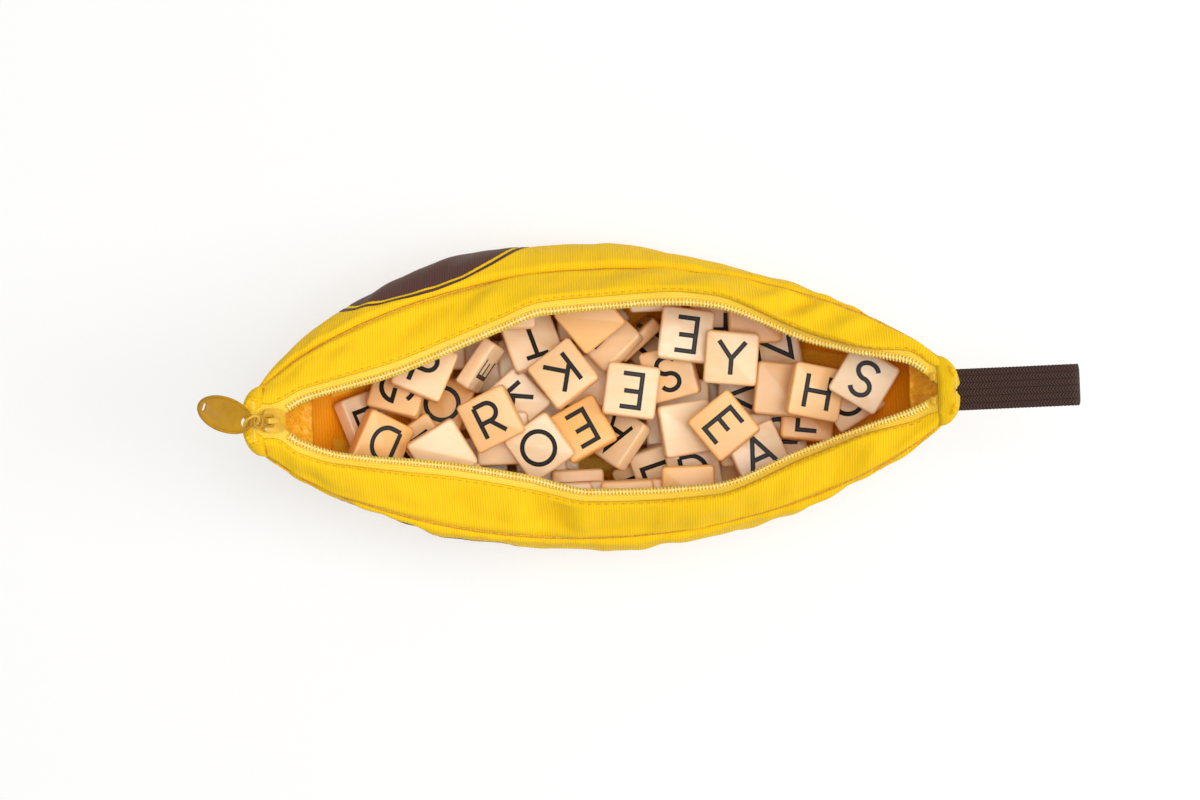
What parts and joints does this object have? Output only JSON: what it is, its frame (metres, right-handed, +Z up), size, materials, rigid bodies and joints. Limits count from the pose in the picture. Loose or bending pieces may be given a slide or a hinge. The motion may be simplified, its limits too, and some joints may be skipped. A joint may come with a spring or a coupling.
{
  "type": "travel word tile game case",
  "caption": "Soft banana-shaped zip pouch standing on its belly, mouth open over a heap of loose letter tiles, with a zip slider, ring and tag, and a webbing loop.",
  "frame": {"origin": "on the floor under the middle of the pouch's belly panel", "axes": "+X along the zip from the slider to the strap, +Y to the back, +Z up"},
  "size_m": [0.3046, 0.1125, 0.1258],
  "materials": {
    "pouch_fabric": "woven polyester, matte",
    "zip_tape": "fine woven tape",
    "zip_coil": "nylon coil",
    "yellow_paint": "gloss paint",
    "gold_enamel": "gloss enamel",
    "strap_webbing": "braided webbing",
    "tile_plastic": "smooth, slightly translucent"
  },
  "bodies": {
    "pouch": {"belly_panel": "pouch_fabric", "side_panel_back": "pouch_fabric", "side_panel_front": "pouch_fabric", "zip_facing_back": "pouch_fabric", "zip_facing_front": "pouch_fabric", "end_binding_left": "pouch_fabric", "end_binding_right": "pouch_fabric", "top_seam_allowance_back": "pouch_fabric", "top_seam_allowance_front": "pouch_fabric", "belly_seam_allowance_back": "pouch_fabric", "belly_seam_allowance_front": "pouch_fabric", "bottom_stop": "yellow_paint", "tiles_layer_1": "tile_plastic", "tiles_layer_2": "tile_plastic", "tiles_layer_3": "tile_plastic", "tiles_layer_4": "tile_plastic", "tiles_layer_5": "tile_plastic", "tiles_top_slider_end": "tile_plastic", "tiles_top_middle": "tile_plastic", "tiles_top_strap_end": "tile_plastic"},
    "slider": {"slider_body": "yellow_paint", "slider_crown": "yellow_paint"},
    "pull_eye": {"pull_eye": "yellow_paint"},
    "pull_ring": {"pull_ring": "yellow_paint"},
    "pull_tag": {"pull_tag": "gold_enamel"},
    "lip_back": {"zip_tape_back": "zip_tape", "zip_teeth_back": "zip_coil", "top_stop_back": "yellow_paint"},
    "lip_front": {"zip_tape_front": "zip_tape", "zip_teeth_front": "zip_coil", "top_stop_front": "yellow_paint"},
    "strap": {"strap_loop": "strap_webbing"},
    "loose_tile_1": {"loose_tile_1": "tile_plastic"},
    "loose_tile_2": {"loose_tile_2": "tile_plastic"},
    "loose_tile_3": {"loose_tile_3": "tile_plastic"},
    "loose_tile_4": {"loose_tile_4": "tile_plastic"}
  },
  "joints": [
    {"name": "slider_travel", "type": "hinge", "parent": "pouch", "child": "slider", "pos_m": [0.0045, 0, 0.24672], "axis": [0, -1, 0], "range_deg": [0, 73.2]},
    {"name": "lip_back_close", "type": "hinge", "parent": "pouch", "child": "lip_back", "pos_m": [0, 0, 0.104], "axis": [-1, 0, 0], "range_deg": [0, 49.5], "deforming": ["zip_tape_back", "zip_teeth_back", "top_stop_back", "zip_facing_back"]},
    {"name": "lip_front_close", "type": "hinge", "parent": "pouch", "child": "lip_front", "pos_m": [0, 0, 0.104], "axis": [1, 0, 0], "range_deg": [0, 42.5], "deforming": ["zip_tape_front", "zip_teeth_front", "top_stop_front", "zip_facing_front"]},
    {"name": "pull_eye_swing", "type": "hinge", "parent": "slider", "child": "pull_eye", "pos_m": [-0.11414, 0, 0.10388], "axis": [0, 1, 0], "range_deg": [0, 150]},
    {"name": "pull_ring_swing", "type": "hinge", "parent": "pull_eye", "child": "pull_ring", "pos_m": [-0.11808, 0, 0.10972], "axis": [0, 1, 0], "range_deg": [0, 28]},
    {"name": "tag_swivel", "type": "hinge", "parent": "pull_ring", "child": "pull_tag", "pos_m": [-0.12197, 0, 0.11375], "axis": [0.5864, -0.1199, 0.8011], "range_deg": [-12, 45]},
    {"name": "strap_flex", "type": "hinge", "parent": "pouch", "child": "strap", "pos_m": [0.1277, 0, 0.088], "axis": [0, 1, 0], "range_deg": [-25, 25], "stiffness_Nm_per_rad": 0.02},
    {"name": "loose_tile_1_lift", "type": "slide", "parent": "pouch", "child": "loose_tile_1", "axis": [0, 0, 1], "range_m": [0, 0.075]},
    {"name": "loose_tile_2_lift", "type": "slide", "parent": "pouch", "child": "loose_tile_2", "axis": [0, 0, 1], "range_m": [0, 0.075]},
    {"name": "loose_tile_3_lift", "type": "slide", "parent": "pouch", "child": "loose_tile_3", "axis": [0, 0, 1], "range_m": [0, 0.075]},
    {"name": "loose_tile_4_lift", "type": "slide", "parent": "pouch", "child": "loose_tile_4", "axis": [0, 0, 1], "range_m": [0, 0.075]}
  ],
  "couplings": [
    {"joint": "lip_back_close", "follows": "slider_travel", "ratio": 0.6762},
    {"joint": "lip_front_close", "follows": "slider_travel", "ratio": 0.5806}
  ]
}
